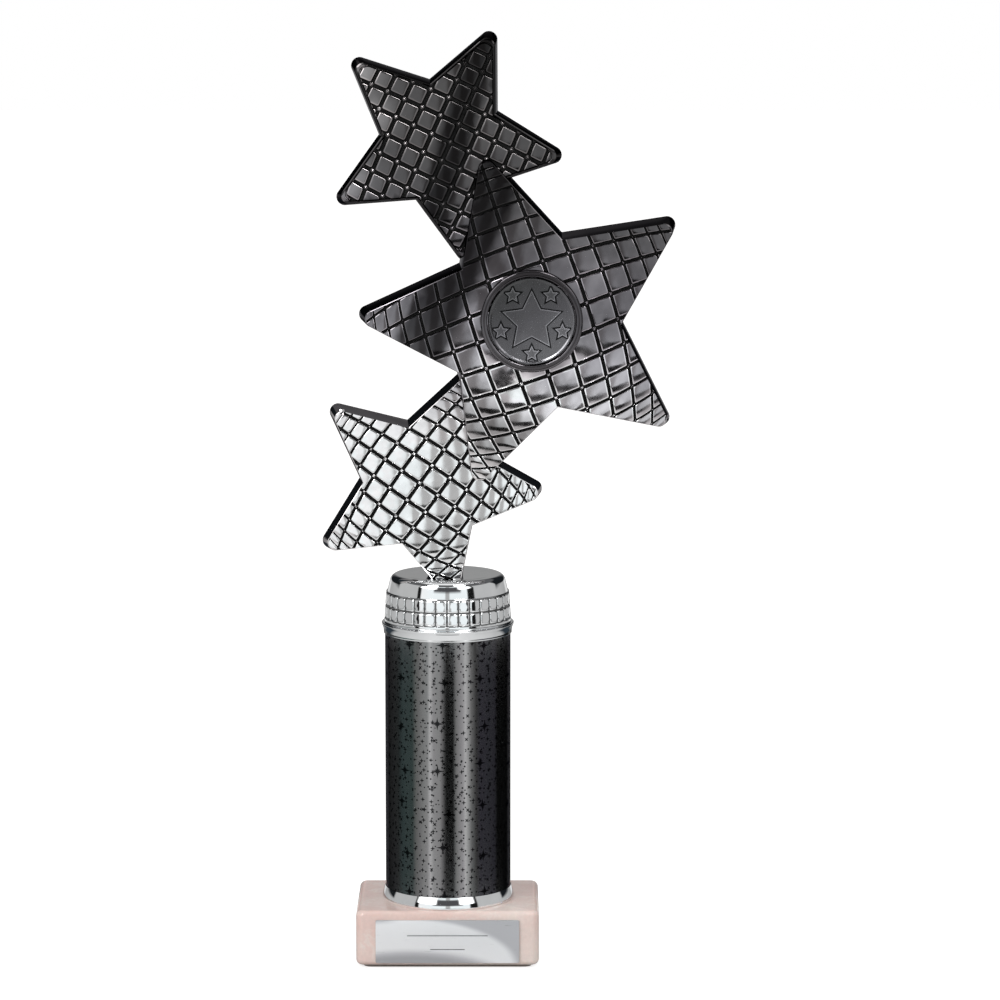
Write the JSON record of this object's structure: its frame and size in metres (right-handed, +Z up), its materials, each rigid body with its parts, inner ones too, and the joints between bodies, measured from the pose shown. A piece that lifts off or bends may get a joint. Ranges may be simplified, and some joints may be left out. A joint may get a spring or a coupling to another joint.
{
  "type": "column trophy",
  "caption": "Presentation trophy: marble base, foil-wrapped column between chrome collars, tiled chrome cap, and a plated figure of three overlapping stars with a round centre disc.",
  "frame": {"origin": "centre of the underside of the base, where the trophy rests", "axes": "+Z up along the column, -Y towards the front with the engraving plate and the disc, +X to the viewer's right"},
  "size_m": [0.1059, 0.0427, 0.2798],
  "materials": {
    "felt": "matte",
    "marble": "polished",
    "adhesive": "satin",
    "plate_metal": "satin",
    "chrome_plating": "polished",
    "card": "matte",
    "foil": "gloss",
    "zinc_steel": "satin",
    "plated_figure": "polished",
    "disc_metal": "satin"
  },
  "bodies": {
    "root": {"base_felt": "felt", "marble_base": "marble", "plate_adhesive": "adhesive", "engraving_plate": "plate_metal", "lower_collar": "chrome_plating", "tube_core": "card", "tube_wrap": "foil", "upper_collar": "chrome_plating", "riser_cap": "chrome_plating", "threaded_rod": "zinc_steel", "base_washer": "zinc_steel", "base_nut": "zinc_steel", "clamp_washer": "zinc_steel", "clamp_nut": "zinc_steel", "figure_insert_nut": "zinc_steel", "figure_front_shell": "plated_figure", "figure_back_shell": "plated_figure", "disc_pad": "adhesive", "centre_disc": "disc_metal"}
  },
  "joints": []
}
